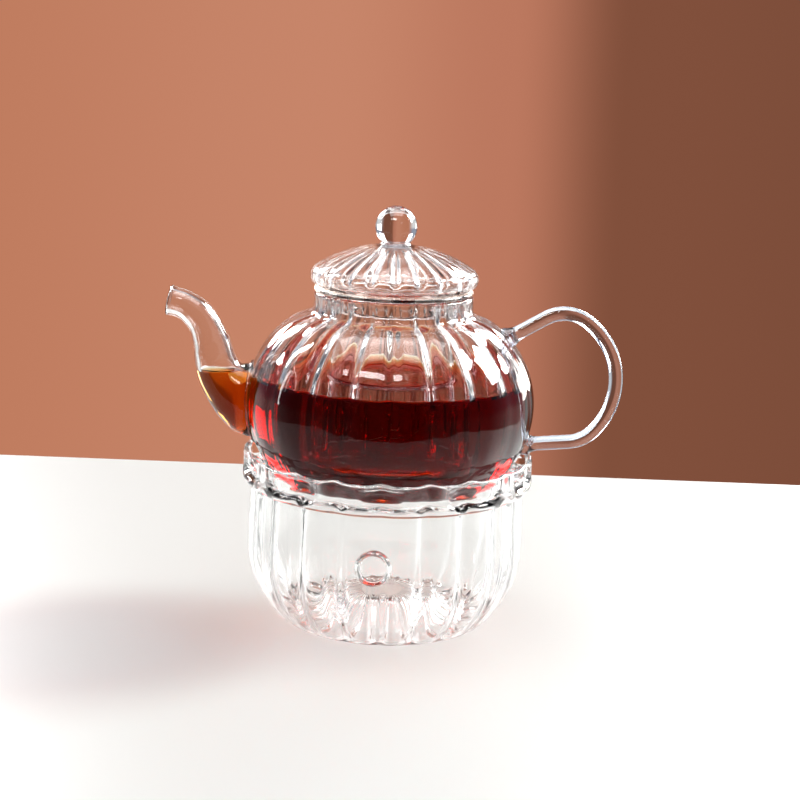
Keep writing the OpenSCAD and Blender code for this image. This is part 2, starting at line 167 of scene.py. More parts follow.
def add_world():
    world = bpy.data.worlds.new("clay_room")
    bpy.context.scene.world = world
    tree = shader_tree(world)
    link, new = tree.links.new, tree.nodes.new
    out, mix, path = new("ShaderNodeOutputWorld"), new("ShaderNodeMixShader"), new("ShaderNodeLightPath")
    room, plain = new("ShaderNodeBackground"), new("ShaderNodeBackground")
    link(room_colour(tree), room.inputs["Color"])
    plain.inputs["Color"].default_value = (0.86, 0.90, 0.95, 1)
    plain.inputs["Strength"].default_value = 0.52
    link(path.outputs["Is Diffuse Ray"], mix.inputs["Fac"])
    link(room.outputs["Background"], mix.inputs[1])
    link(plain.outputs["Background"], mix.inputs[2])
    link(mix.outputs["Shader"], out.inputs["Surface"])

add_world()
print("world", bpy.context.scene.world.name)

# %% [markdown]
# ## Lights
# Soft panels do the work of studio windows. The key stands to the right and a little behind, so the shadow
# falls to the left with the tea's red in it, and a weaker one hangs overhead. The others are there for the
# glass alone and put no light on the table: a big window at the right for the patch on the shoulder, tall
# ones behind for the white lines down the ribs, and a sheet overhead that veils the lid.

# %% Lights
MIDDLE = Vector((0, 0, 0.09))

def add_panel(name, place, width, height, watts, colour=(1, 1, 1), on_table=True):
    data = bpy.data.lights.new(name, "AREA")
    data.shape, data.size, data.size_y = "RECTANGLE", width, height
    data.energy, data.color = watts, colour
    panel = bpy.data.objects.new(name, data)
    bpy.context.scene.collection.objects.link(panel)
    panel.visible_diffuse = on_table
    turn = (MIDDLE - Vector(place)).to_track_quat("-Z", "Y").to_matrix().to_4x4()
    panel.matrix_world = Matrix.Translation(place) @ turn
    return panel

panels = [
    add_panel("key_panel", (1.25, 0.55, 0.95), 0.40, 0.40, 20, (1.0, 0.96, 0.91)),
    add_panel("top_panel", (-0.1, 0.25, 1.25), 0.8, 0.5, 3),
    add_panel("right_window", (0.98, 0.30, 0.78), 0.52, 0.60, 62, on_table=False),
    add_panel("left_strip", (-0.95, 0.36, 0.82), 0.12, 0.60, 10, on_table=False),
    add_panel("left_low_strip", (-1.00, 0.10, 0.30), 0.06, 0.50, 1.2, on_table=False),
    add_panel("left_back_window", (-0.66, 0.95, 0.62), 0.26, 0.50, 16, on_table=False),
    add_panel("right_back_window", (0.62, 0.92, 0.66), 0.34, 0.55, 24, on_table=False),
    add_panel("overhead_sheet", (0.0, -0.05, 1.30), 1.20, 0.80, 18, on_table=False),
    add_panel("low_back_glow", (0.85, 0.95, 0.14), 0.45, 0.26, 3, (1.0, 0.94, 0.88), on_table=False),
    add_panel("high_front", (-0.25, -0.75, 1.00), 0.60, 0.14, 8, on_table=False),
]
print("panels", [p.name for p in panels])

# %% [markdown]
# ## How light travels
# A ray through this pot crosses a dozen faces before it leaves, so the render is allowed more bounces
# than usual. Very bright single samples are held back, because glass scatters them as white specks.

# %% Light bounces and colour
scene = bpy.context.scene
scene.view_settings.view_transform = "Standard"
scene.cycles.max_bounces = 28
scene.cycles.transmission_bounces = 28
scene.cycles.transparent_max_bounces = 28
scene.cycles.glossy_bounces = 10
scene.cycles.sample_clamp_indirect = 6
scene.cycles.blur_glossy = 0.3
print("bounces", scene.cycles.max_bounces)

# %% [markdown]
# ## Hand-blown ripple
# Blown glass is never quite flat: slow waves cross it, and a finer shiver follows where it met the
# mould. Every glass here shares that surface, so it is a node group with named inputs, and each
# material sets its own scale. It puts out a height, which a Bump node turns into a bent normal, and a
# small roughness where fingers and steam have dulled the polish.

# %% Ripple group
def ripple_group():
    group = bpy.data.node_groups.new("hand_blown_ripple", "ShaderNodeTree")
    face = group.interface
    for name, value in (("Wave Scale", 40.0), ("Fine Share", 0.25), ("Dulling", 0.02)):
        face.new_socket(name=name, in_out="INPUT", socket_type="NodeSocketFloat").default_value = value
    face.new_socket(name="Height", in_out="OUTPUT", socket_type="NodeSocketFloat")
    face.new_socket(name="Roughness", in_out="OUTPUT", socket_type="NodeSocketFloat")
    nodes, link = group.nodes, group.links.new
    start, end = nodes.new("NodeGroupInput"), nodes.new("NodeGroupOutput")
    place = nodes.new("ShaderNodeTexCoord")
    slow, fine, smudge = (nodes.new("ShaderNodeTexNoise") for _ in range(3))
    quick, add, scale, fade = (nodes.new("ShaderNodeMath") for _ in range(4))
    quick.operation, quick.inputs[1].default_value = "MULTIPLY", 5.0
    add.operation, scale.operation, fade.operation = "MULTIPLY_ADD", "MULTIPLY", "POWER"
    slow.inputs["Detail"].default_value = 1.0
    fine.inputs["Detail"].default_value = 2.0
    smudge.inputs["Scale"].default_value = 28.0
    smudge.inputs["Detail"].default_value = 4.0
    fade.inputs[1].default_value = 4.0
    for noise in (slow, fine, smudge):
        link(place.outputs["Object"], noise.inputs["Vector"])
    link(start.outputs["Wave Scale"], slow.inputs["Scale"])
    link(start.outputs["Wave Scale"], quick.inputs[0])
    link(quick.outputs[0], fine.inputs["Scale"])
    link(fine.outputs["Fac"], add.inputs[0])
    link(start.outputs["Fine Share"], add.inputs[1])
    link(slow.outputs["Fac"], add.inputs[2])
    link(add.outputs[0], end.inputs["Height"])
    link(smudge.outputs["Fac"], fade.inputs[0])
    link(fade.outputs[0], scale.inputs[0])
    link(start.outputs["Dulling"], scale.inputs[1])
    link(scale.outputs[0], end.inputs["Roughness"])
    return group

RIPPLE = ripple_group()
print("group", RIPPLE.name)

# %% [markdown]
# ## Glass
# Each glass is one Principled shader with full transmission. Shadow rays, and the light that leaves the
# table, pass through a plain transparent shader instead, because a lamp can't shine through bent glass in
# so few samples, and the table would be black under the pot. Where tea wets a wall, light bends much
# less, because water and glass are nearly alike: that face gets the ratio of the two indices, 1.47 over
# 1.33.

# %% Two ways through a clear body
def join_shaders(tree, body, clear):
    """The body for the eye and for mirrors, the clear shader for lamps and for light from the table."""
    new, link = tree.nodes.new, tree.links.new
    lamp_mix, table_mix = new("ShaderNodeMixShader"), new("ShaderNodeMixShader")
    path, out = new("ShaderNodeLightPath"), new("ShaderNodeOutputMaterial")
    link(path.outputs["Is Diffuse Ray"], table_mix.inputs["Fac"])
    link(body.outputs["BSDF"], table_mix.inputs[1])
    link(clear.outputs["BSDF"], table_mix.inputs[2])
    link(path.outputs["Is Shadow Ray"], lamp_mix.inputs["Fac"])
    link(table_mix.outputs["Shader"], lamp_mix.inputs[1])
    link(clear.outputs["BSDF"], lamp_mix.inputs[2])
    link(lamp_mix.outputs["Shader"], out.inputs["Surface"])
    return out

print("helper:", join_shaders.__name__)

# %% Glass maker
GLASS_INDEX = 1.47

def glass(name, tint, index=GLASS_INDEX, wave=40.0, fine=0.25, height=0.00002, dulling=0.02, shade=0.95,
          shine=0.55):
    material = bpy.data.materials.new(name)
    tree = shader_tree(material)
    nodes, link = tree.nodes, tree.links.new
    body = nodes.new("ShaderNodeBsdfPrincipled")
    clear = nodes.new("ShaderNodeBsdfTransparent")
    ripple = nodes.new("ShaderNodeGroup")
    bump = nodes.new("ShaderNodeBump")
    ripple.node_tree = RIPPLE
    ripple.inputs["Wave Scale"].default_value = wave
    ripple.inputs["Fine Share"].default_value = fine
    ripple.inputs["Dulling"].default_value = dulling
    bump.inputs["Distance"].default_value = height
    body.inputs["Base Color"].default_value = (*tint, 1)
    body.inputs["IOR"].default_value = index
    body.inputs["Transmission Weight"].default_value = 1.0
    body.inputs["Specular Tint"].default_value = (shine, shine, shine, 1)
    clear.inputs["Color"].default_value = (*(shade * part for part in tint), 1)
    link(ripple.outputs["Height"], bump.inputs["Height"])
    link(bump.outputs["Normal"], body.inputs["Normal"])
    link(ripple.outputs["Roughness"], body.inputs["Roughness"])
    join_shaders(tree, body, clear)
    return material

clear_glass = glass("ribbed_clear_glass", (0.985, 0.992, 0.995))
lid_glass = glass("lid_clear_glass", (0.980, 0.990, 0.998), wave=70.0, fine=0.45, height=0.00005, shine=0.9)
wet_glass = glass("tea_wetted_glass", (0.99, 0.99, 0.99), index=1.105, shade=0.98)
warmer_glass = glass("warmer_clear_glass", (0.985, 0.992, 0.992), wave=34.0, shade=0.985, shine=0.8)
infuser_glass = glass("thin_infuser_glass", (0.99, 0.995, 0.995), height=0.00001)
# The rod's blue-grey tint is a painted reflection: it stands for the cool room seen through the rod.
rod_glass = glass("drawn_rod_painted_cool_glass", (0.73, 0.80, 0.91), wave=20.0, fine=0.1, height=0.000006, dulling=0.01,
                  shine=1.0)
knob_glass = glass("solid_knob_glass", (0.95, 0.965, 0.99), wave=30.0, fine=0.1, height=0.000008,
                   dulling=0.01, shine=1.0)
weld_glass = glass("melted_seam_glass", (0.97, 0.98, 0.985), wave=160.0, fine=0.4, height=0.00008)
# The rim's orange tint is a painted warm reflection of the clay room and the tea; its dullness is real
# roughness.
ground_glass_painted_warm = glass("ground_rim_painted_warm_glass", (0.99, 0.87, 0.77), wave=60.0, dulling=4.5, shine=1.0)
print("glasses", [m.name for m in bpy.data.materials if m.name.endswith("glass")])

# %% [markdown]
# ## Tea
# Tea is clear but drinks up light: blue first, then green, red last. An absorbing volume gives amber in
# the narrow spout and a red that is almost black across the pot from one and the same liquid. Its body
# doesn't bend light at all, because the wetted glass already does that; only its free top does.

# %% Tea materials
def tea_body_material():
    material = bpy.data.materials.new("tea_liquid")
    tree = shader_tree(material)
    body = tree.nodes.new("ShaderNodeBsdfPrincipled")
    clear = tree.nodes.new("ShaderNodeBsdfTransparent")
    drink = tree.nodes.new("ShaderNodeVolumeAbsorption")
    body.inputs["Base Color"].default_value = (1, 1, 1, 1)
    body.inputs["Roughness"].default_value = 0.0
    body.inputs["IOR"].default_value = 1.0
    body.inputs["Transmission Weight"].default_value = 1.0
    drink.inputs["Color"].default_value = (0.91, 0.615, 0.0, 1)
    drink.inputs["Density"].default_value = 260.0
    out = join_shaders(tree, body, clear)
    tree.links.new(drink.outputs["Volume"], out.inputs["Volume"])
    return material

tea_liquid = tea_body_material()
tea_top = glass("tea_free_surface", (1.0, 0.97, 0.94), index=1.33, wave=12.0, fine=0.0, height=0.00001,
                dulling=0.0, shade=1.0)
print("tea", tea_liquid.name, tea_top.name)

# %% [markdown]
# ## A wall as a turned path
# A glass-blower's section is a string of straight runs and bends, so that is how it is written here:
# (0, length) goes straight and (radius, turn) bends, left when the turn is positive. The same path a
# wall's thickness to one side gives the other face, and a half circle joins them at the free edge.

# %% Paths and outlines
def sine(angle):
    return math.sin(math.radians(angle))

def cosine(angle):
    return math.cos(math.radians(angle))

def heading(angle):
    return Vector((cosine(angle), sine(angle)))

def left_of(angle):
    return heading(angle + 90)

def trace(start, angle, steps, spacing=1.5):
    points, angles = [Vector(start)], [angle]
    for radius, amount in steps:
        length = amount if radius == 0 else radius * abs(math.radians(amount))
        count = max(2, math.ceil(length / spacing))
        p, a = points[-1], angles[-1]
        for i in range(1, count + 1):
            part = amount * i / count
            if radius == 0:
                points.append(p + heading(a) * part)
                angles.append(a)
            else:
                side = math.copysign(radius, amount)
                points.append(p + (left_of(a) - left_of(a + part)) * side)
                angles.append(a + part)
    return points, angles

def wall_outline(start, angle, steps, thick, spacing=1.5):
    """Rows of (radius, height, inward radius step, inward height step, share of the way to the inside)."""
    points, angles = trace(start, angle, steps, spacing)
    way = math.copysign(1, thick)
    near = [(p, left_of(a) * way, 0.0) for p, a in zip(points, angles)]
    far = [(p + left_of(a) * thick, left_of(a) * way, 1.0) for p, a in zip(points, angles)]
    end, last = points[-1], angles[-1]
    half = abs(thick) / 2
    rim = []
    for turn in (-65, -40, -15, 15, 40, 65):
        across, ahead = sine(turn), cosine(turn)
        spot = end + left_of(last) * way * half * (1 + across) + heading(last) * half * ahead
        rim.append((spot, left_of(last) * way, (1 + across) / 2))
    rows = near + rim + far[::-1]
    return [(p.x, p.y, d.x, d.y, s) for p, d, s in rows]

print("a path of two steps has", len(trace((0, 0), 0, [(0, 10), (5, 90)])[0]), "points")

# %% [markdown]
# ## Lathe, ribs and finish
# Spinning an outline round the axis is the lathe. The mould's ribs come after it, as smooth moves of the
# points: twenty of them, with wide bulging flutes between narrow ridges. The ridge is thicker glass, so
# the inner face moves more than the outer one, and that is what makes each rib bend light like a lens.

# %% Lathe
SIDES = 320
RIBS = 20
CHUNK = 8000  # points that are matched to the outline at a time, to save memory
FIRST_RIB = math.radians(-91.5)

def lathe(rows, sides=SIDES):
    bm = bmesh.new()
    verts = [bm.verts.new((row[0] * MM, 0, row[1] * MM)) for row in rows]
    edges = [bm.edges.new(pair) for pair in zip(verts, verts[1:])]
    bmesh.ops.spin(bm, geom=verts + edges, cent=(0, 0, 0), axis=(0, 0, 1), angle=math.tau,
                   steps=sides, use_merge=True, use_duplicate=False)
    bmesh.ops.remove_doubles(bm, verts=bm.verts, dist=MERGE)
    bmesh.ops.recalc_face_normals(bm, faces=bm.faces)
    return bm

def smooth_step(value, low, high):
    t = np.clip((value - low) / (high - low), 0, 1)
    return t * t * (3 - 2 * t)

def rib_at(turn, first=FIRST_RIB):
    """1 on a rib line and 0 in the middle of a flute."""
    return np.cos(RIBS / 2 * (turn - first)) ** 6

def press(bm, rows, push):
    """Moves every point. push gets its angle, radius, height and share, and gives (inward, out, up) in mm."""
    outline = np.array(rows)
    x, y, height = (np.array([v.co for v in bm.verts]) / MM).T
    radius, turn = np.hypot(x, y), np.arctan2(y, x)
    nearest = np.empty(len(height), int)
    for start in range(0, len(height), CHUNK):
        part = slice(start, start + CHUNK)
        gap = (radius[part, None] - outline[:, 0]) ** 2 + (height[part, None] - outline[:, 1]) ** 2
        nearest[part] = gap.argmin(1)
    row = outline[nearest]
    inward, out, up = push(turn, radius, height, row[:, 4])
    new_radius = radius + inward * row[:, 2] + out
    new_height = height + inward * row[:, 3] + up
    for v, r, t, z in zip(bm.verts, new_radius, turn, new_height):
        v.co = (r * math.cos(t) * MM, r * math.sin(t) * MM, z * MM)

def finish_piece(bm, name, body, material, nodes=(), extra=()):
    for face in bm.faces:
        face.smooth = True
    mesh = bpy.data.meshes.new(name)
    bm.to_mesh(mesh)
    bm.free()
    for each in (material, *extra):
        mesh.materials.append(each)
    piece = bpy.data.objects.new(name, mesh)
    bpy.context.scene.collection.objects.link(piece)
    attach(piece, body)
    if nodes:
        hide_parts(*nodes)
    mesh.calc_loop_triangles()
    size = [round(v * 1000, 1) for v in piece.dimensions]
    print(name, "size", size, "mm,", len(mesh.loop_triangles), "triangles")

# %% [markdown]
# ## Pot
# The section starts in the middle of the flat bottom, bends up round the edge, swells into the belly,
# comes over the shoulder and runs up the neck. The belly's upper bend is split where the tea stands, so
# that the wetted part of the inner wall ends exactly at the tea line.

# %% Pot outline
WALL = 2.2
bowl_box, neck_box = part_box("pot_bowl"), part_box("pot_neck")
BELLY_R = bowl_box[1].y / MM
BELLY_Z, BASE_Z, NECK_Z = bowl_box[1].z / MM, bowl_box[0].z / MM, neck_box[1].z / MM
LOW_BEND, HIGH_BEND, EDGE_BEND, SHOULDER_BEND = 45.2, 42.8, 9.0, 26.1
BELLY_TURN, NECK_TURN, NECK_R = 50.4, 75, 34.4
TEA_Z = 107.7
edge_turn = math.degrees(math.acos((BELLY_Z - BASE_Z - EDGE_BEND) / (LOW_BEND - EDGE_BEND)))
flat = BELLY_R - EDGE_BEND * sine(edge_turn) - LOW_BEND * (1 - sine(edge_turn))
tea_turn = math.degrees(math.asin((TEA_Z - BELLY_Z) / (HIGH_BEND - WALL)))
pot_steps = [
    (0, flat), (EDGE_BEND, edge_turn), (LOW_BEND, 90 - edge_turn), (HIGH_BEND, tea_turn),
    (HIGH_BEND, BELLY_TURN - tea_turn), (SHOULDER_BEND, NECK_TURN - BELLY_TURN),
]
shoulder = trace((0, BASE_Z), 0, pot_steps)[0][-1]
neck_bend = (shoulder.x - NECK_R) / (1 - cosine(NECK_TURN))
neck_run = NECK_Z - WALL / 2 - shoulder.y - neck_bend * sine(NECK_TURN)
pot_rows = wall_outline((0, BASE_Z), 0, pot_steps + [(neck_bend, -NECK_TURN), (0, neck_run)], WALL)
print("belly", round(BELLY_R, 2), "flat bottom", round(flat, 2), "tea line at", TEA_Z)

# %% Pot wall with its ribs
POT_RIB = math.radians(-88.6)
RIB_OUT, RIB_MORE_IN = 0.28, 1.72  # how deep a rib is on the outer face, and how much deeper on the inner

def pot_push(turn, radius, height, share):
    fade = smooth_step(radius, 22, 40) * (1 - 0.55 * smooth_step(height, 136, 144))
    depth = (RIB_OUT + RIB_MORE_IN * share) * fade * rib_at(turn, POT_RIB)
    lean = smooth_step(height, 109, 118)
    return depth * lean, -depth * (1 - lean), 0 * depth

SPOUT_Z, HOLE_R = 94.4, 10.0

def open_hole(bm, across, along, radius, keep):
    """Cuts a round hole through a wall: across gives a point's two distances from the hole's axis in mm."""
    def off_axis(co):
        u, v = across(co)
        return math.hypot(u, v)
    bm.faces.ensure_lookup_table()
    gone = [f for f in bm.faces if keep(f.calc_center_median()) and off_axis(f.calc_center_median()) < radius]
    bmesh.ops.delete(bm, geom=gone, context="FACES")
    edges = [e for e in bm.edges if e.is_boundary]
    for v in {v for e in edges for v in e.verts}:
        u, w = across(v.co)
        scale = radius / math.hypot(u, w)
        v.co += along(u * (scale - 1), w * (scale - 1))
    return bmesh.ops.bridge_loops(bm, edges=edges)["faces"]

pot_bm = lathe(pot_rows)
press(pot_bm, pot_rows, pot_push)
hole_faces = open_hole(
    pot_bm, lambda co: (co.y / MM, co.z / MM - SPOUT_Z), lambda u, w: Vector((0, u, w)) * MM,
    HOLE_R, lambda co: co.x < 0,
)
bmesh.ops.recalc_face_normals(pot_bm, faces=pot_bm.faces)

# %% [markdown]
# The inner wall under the tea line takes the wetted glass. So does the oval of outer wall that the
# spout's root covers, because tea stands against it there as well.

# %% Wetted faces of the pot
def belly_radius(z):
    if z > BELLY_Z:
        return BELLY_R - HIGH_BEND + math.sqrt(HIGH_BEND ** 2 - (z - BELLY_Z) ** 2)
    return BELLY_R - LOW_BEND + math.sqrt(LOW_BEND ** 2 - (z - BELLY_Z) ** 2)

ROOT_HALF, SQUEEZE, SPOUT_WALL = 17.0, 0.8, 1.8

def is_wet(face):
    spot, facing = face.calc_center_median() / MM, face.normal
    if spot.z > TEA_Z:
        return False
    centre = Vector((spot.x, spot.y, 0))
    if spot.z < BASE_Z + WALL + 1 and centre.length < flat:
        return facing.z > 0.5
    outwards = Vector((spot.x, spot.y, (spot.z - BELLY_Z))).dot(facing) > 0
    if not outwards:
        return True
    from_middle = math.hypot(spot.y / SQUEEZE, spot.z - SPOUT_Z)
    return spot.x < 0 and from_middle < ROOT_HALF - SPOUT_WALL

for face in pot_bm.faces:
    face.material_index = 1 if is_wet(face) else 0
for face in hole_faces:
    if face.is_valid:
        face.material_index = 1
print("wetted faces", sum(f.material_index for f in pot_bm.faces), "of", len(pot_bm.faces))
finish_piece(pot_bm, "pot_wall", "pot", clear_glass,
             ["pot_bowl", "pot_shoulder", "pot_neck"], [wet_glass])

# %% [markdown]
# ## Spout
# The spout is a swelling tube that leaves the belly low, climbs in an S and turns out at its lip. It is
# a run of rings, each with its own size and slant, bridged one to the next. The widest ones at the root
# are narrower than they are tall and lie down on the belly's curve.

# %% Spout rings
# (distance out from the belly, height, radius, slant) of each ring, from the lip to the root
spout_marks = [
    (33.6, 137.8, 6.7, -11), (32.0, 137.4, 6.3, -13), (27.4, 135.9, 6.4, -19), (22.2, 132.1, 7.1, -29),
    (19.3, 128.2, 7.4, -42), (16.5, 121.7, 8.1, -55), (15.3, 117.5, 8.8, -60), (13.3, 109.9, 9.3, -62),
    (10.6, 104.2, 10.5, -43), (7.1, 99.2, 12.8, -21), (3.4, 95.8, 15.1, -5),
]

def between(marks, parts):
    """Catmull-Rom steps between the marks."""
    rows = np.array(marks, float)
    found = []
    for i in range(len(rows) - 1):
        a, b, c, d = (rows[min(max(i + j, 0), len(rows) - 1)] for j in (-1, 0, 1, 2))
        for k in range(parts):
            t = k / parts
            found.append(0.5 * (2 * b + (c - a) * t + (2 * a - 5 * b + 4 * c - d) * t ** 2
                                + (3 * b - a - 3 * c + d) * t ** 3))
    return found + [rows[-1]]

spout_run = between(spout_marks, 4)
RING = 40
ROOT_SINK = 0.7  # how far the root's edge lies under the belly's face

def add_ring(bm, centre, up, tall, wide):
    """A ring of edges in the plane of up and Y."""
    frame_of_ring = Matrix((
        (up.x * tall, 0, 0, centre.x), (0, wide, 0, 0), (up.y * tall, 0, 1, centre.y), (0, 0, 0, 1),
    ))
    made = bmesh.ops.create_circle(bm, segments=RING, radius=1, matrix=Matrix.Scale(MM, 4) @ frame_of_ring)
    return made["verts"]

def ring_edges(verts):
    """The edges between these points, each once and always in the same order."""
    inside = set(verts)
    return list(dict.fromkeys(e for v in verts for e in v.link_edges if all(o in inside for o in e.verts)))

def bridge_all(bm, rings):
    faces = []
    loops = [ring_edges(ring) for ring in rings]
    for a, b in zip(loops, loops[1:]):
        faces += bmesh.ops.bridge_loops(bm, edges=a + b)["faces"]
    return faces

def spout_ring(bm, i, inset):
    out, z, radius, slant = spout_run[i]
    squeeze = 1 - (1 - SQUEEZE) * (i / (len(spout_run) - 1)) ** 3
    tall = radius - inset
    return add_ring(bm, Vector((-BELLY_R - out, z)), left_of(slant), tall, tall * squeeze)

def root_ring(bm, half, squeeze, sink):
    """A ring laid on the belly, sink mm below its face."""
    verts = add_ring(bm, Vector((-BELLY_R, SPOUT_Z)), Vector((0, 1)), half, half * squeeze)
    for v in verts:
        reach = belly_radius(v.co.z / MM) - sink
        v.co.x = -math.sqrt(reach ** 2 - (v.co.y / MM) ** 2) * MM
    return verts

print("spout rings", len(spout_run))

# %% Spout tube
def lip_rings(bm):
    """The half-round edge of the lip."""
    out, z, radius, slant = spout_run[0]
    rings, half = [], SPOUT_WALL / 2
    for turn in (60, 30, 0, -30, -60):
        ahead, across = cosine(turn), sine(turn)
        centre = Vector((-BELLY_R - out, z)) - heading(slant) * half * ahead
        tall = radius - half + half * across
        rings.append(add_ring(bm, centre, left_of(slant), tall, tall))
    return rings

spout_bm = bmesh.new()
order = range(len(spout_run))
outside = [spout_ring(spout_bm, i, 0) for i in order] + [root_ring(spout_bm, ROOT_HALF, SQUEEZE, ROOT_SINK)]
inside = [spout_ring(spout_bm, i, SPOUT_WALL) for i in order]
inside.append(root_ring(spout_bm, ROOT_HALF - SPOUT_WALL, SQUEEZE, ROOT_SINK))
bridge_all(spout_bm, outside)
inner_faces = bridge_all(spout_bm, inside)
bridge_all(spout_bm, [outside[0], *lip_rings(spout_bm), inside[0]])
bridge_all(spout_bm, [outside[-1], inside[-1]])
for face in inner_faces:
    face.material_index = 1
bmesh.ops.recalc_face_normals(spout_bm, faces=spout_bm.faces)
bmesh.ops.bisect_plane(spout_bm, geom=spout_bm.verts[:] + spout_bm.edges[:] + spout_bm.faces[:],
                       plane_co=(0, 0, TEA_Z * MM), plane_no=(0, 0, 1))
for face in spout_bm.faces:
    if face.material_index == 1 and face.calc_center_median().z > TEA_Z * MM:
        face.material_index = 0
finish_piece(spout_bm, "spout_tube", "pot", clear_glass, ["spout_tube", "spout_root"],
             [wet_glass])

# %% [markdown]
# Where the spout is melted on, a low bead of glass follows its root round the belly. It is a closed
# curve with a round section, turned into a mesh so that its place stays in the mesh.

# %% Spout seam
def seam_bead(name, spots, radius):
    data = bpy.data.curves.new(name, "CURVE")
    data.dimensions, data.bevel_depth, data.bevel_resolution = "3D", radius * MM, 5
    line = data.splines.new("POLY")
    line.points.add(len(spots) - 1)
    for point, spot in zip(line.points, spots):
        point.co = (*spot, 1)
    line.use_cyclic_u = True
    holder = bpy.data.objects.new(name + "_curve", data)
    bpy.context.scene.collection.objects.link(holder)
    bpy.context.view_layer.update()
    mesh = bpy.data.meshes.new_from_object(holder.evaluated_get(bpy.context.evaluated_depsgraph_get()))
    bm = bmesh.new()
    bm.from_mesh(mesh)
    bpy.data.objects.remove(holder)
    bpy.data.meshes.remove(mesh)
    bmesh.ops.remove_doubles(bm, verts=bm.verts, dist=MERGE)
    bmesh.ops.recalc_face_normals(bm, faces=bm.faces)
    return bm

line_bm = bmesh.new()
line = root_ring(line_bm, ROOT_HALF + 0.4, SQUEEZE + 0.01, -0.1)
seam_bm = seam_bead("spout_seam", [v.co.copy() for v in line], 0.95)
line_bm.free()
finish_piece(seam_bm, "spout_seam", "pot", weld_glass, ["spout_joint"])

# %% [markdown]
# ## Handle
# One drawn rod makes the whole loop: straight off the shoulder, a tight bend, a wide one, a tight one
# and straight back to the belly. A ring is extruded along the straight runs and spun round the bends.
# Its ends flare where they were melted on, and they reach a little into the wall, as fused glass does.

# %% Handle rod
ROD_R, FIRST_RUN = 3.1, 19.0
WELD_SPREAD, WELD_RUN, WELD_SINK = 0.85, 7.5, 0.8
handle_bends = [(16.4, -64), (32.3, -99.5), (16.4, -42)]
handle_from, handle_slope = Vector((49.9, 126.4)), 30.75

def push_ring(bm, verts, step):
    """Extrudes a ring and moves the new one by step."""
    made = bmesh.ops.extrude_edge_only(bm, edges=ring_edges(verts))["geom"]
    new = [g for g in made if isinstance(g, bmesh.types.BMVert)]
    bmesh.ops.translate(bm, vec=step, verts=new)
    return new

def widen(verts, factor):
    centre = sum((v.co for v in verts), Vector()) / len(verts)
    for v in verts:
        v.co = centre + (v.co - centre) * factor

def flare(distance):
    """How far the melted end spreads beyond the rod, at a distance from the wall in mm."""
    return 1 + WELD_SPREAD * max(0.0, 1 - distance / WELD_RUN) ** 2.4

def lay_on_wall(verts, bend):
    """Sets a rod's end ring at an even depth under the belly's face."""
    for v in verts:
        radius = math.hypot(v.co.x, v.co.y) / MM
        away = Vector((radius - (BELLY_R - bend), v.co.z / MM - BELLY_Z))
        away = away.normalized() * (bend - WELD_SINK)
        scale = (BELLY_R - bend + away.x) / radius
        v.co = Vector((v.co.x * scale, v.co.y * scale, (BELLY_Z + away.y) * MM))

def three(v):
    return Vector((v.x, 0, v.y)) * MM

print("bends of the handle", handle_bends)

# %% Handle loop
handle_bm = bmesh.new()
angle, spot = handle_slope, handle_from.copy()
ring = add_ring(handle_bm, spot, left_of(angle), ROD_R * flare(0), ROD_R * flare(0))
first_ring = ring
near = [0.8, 1.0, 1.2, 1.5, 1.5, 1.8]
gone = 0.0
for step in near + [FIRST_RUN - sum(near)]:
    ring = push_ring(handle_bm, ring, three(heading(angle) * step))
    widen(ring, flare(gone + step) / flare(gone))
    gone += step
    spot = spot + heading(angle) * step
for radius, turn in handle_bends:
    centre = spot - left_of(angle) * radius
    made = bmesh.ops.spin(handle_bm, geom=ring + ring_edges(ring), cent=three(centre), axis=(0, -1, 0),
                          angle=math.radians(turn), steps=max(8, int(abs(turn) / 1.5)), use_duplicate=False)
    ring = [g for g in made["geom_last"] if isinstance(g, bmesh.types.BMVert)]
    spot = centre + left_of(angle + turn) * radius
    angle += turn
bend_centre = Vector((BELLY_R - LOW_BEND, BELLY_Z))
runs = (tenths / 10 for tenths in range(400))
low_wall = next(run for run in runs if (spot + heading(angle) * run - bend_centre).length < LOW_BEND)
gone = low_wall
for step in [low_wall - sum(near)] + near[::-1]:
    ring = push_ring(handle_bm, ring, three(heading(angle) * step))
    widen(ring, flare(gone - step) / flare(gone))
    gone -= step
lay_on_wall(first_ring, HIGH_BEND)
lay_on_wall(ring, LOW_BEND)
for end in (first_ring, ring):
    bmesh.ops.edgeloop_fill(handle_bm, edges=ring_edges(end))
bmesh.ops.recalc_face_normals(handle_bm, faces=handle_bm.faces)
print("handle meets the belly after", round(low_wall, 1), "mm")
print("open edges", sum(e.is_boundary for e in handle_bm.edges))
finish_piece(handle_bm, "handle_rod", "pot", rod_glass,
             ["handle", "handle_top_joint", "handle_bottom_joint"])

# %% [markdown]
# ## Infuser
# A thin plain cup hangs in the neck by its turned-out rim. Twenty narrow slits near its floor let the
# tea through. The lathe's columns are narrow, so a slit is two of them taken out of both faces, with the
# two openings bridged to give the cut its sides. The rim is ground dull, and its orange tint is a painted
# warm reflection; together they keep the seam under the lid light.

# %% Infuser cup
infuser_low, infuser_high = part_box("infuser_base")[0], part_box("infuser_rim")[1]
CUP_FLOOR, CUP_TOP = infuser_low.z / MM, infuser_high.z / MM
CUP_R, CUP_EDGE, CUP_WALL, RIM_BEND = 27.6, 7.0, 1.8, 3.0
SLIT_START, SLIT_TALL = 8, 14
cup_side = CUP_TOP - CUP_WALL - CUP_FLOOR - CUP_EDGE - RIM_BEND
under_slits = SLIT_START - CUP_EDGE
cup_rows = wall_outline((0, CUP_FLOOR), 0, [
    (0, CUP_R - CUP_EDGE), (CUP_EDGE, 90), (0, under_slits), (0, SLIT_TALL),
    (0, cup_side - under_slits - SLIT_TALL), (RIM_BEND, -90),
    (0, infuser_high.x / MM - CUP_R - RIM_BEND - CUP_WALL / 2)], CUP_WALL, spacing=2.0)
cup_bm = lathe(cup_rows)
print("cup from", round(CUP_FLOOR, 1), "to", round(CUP_TOP, 1), "with a side of", round(cup_side, 1))

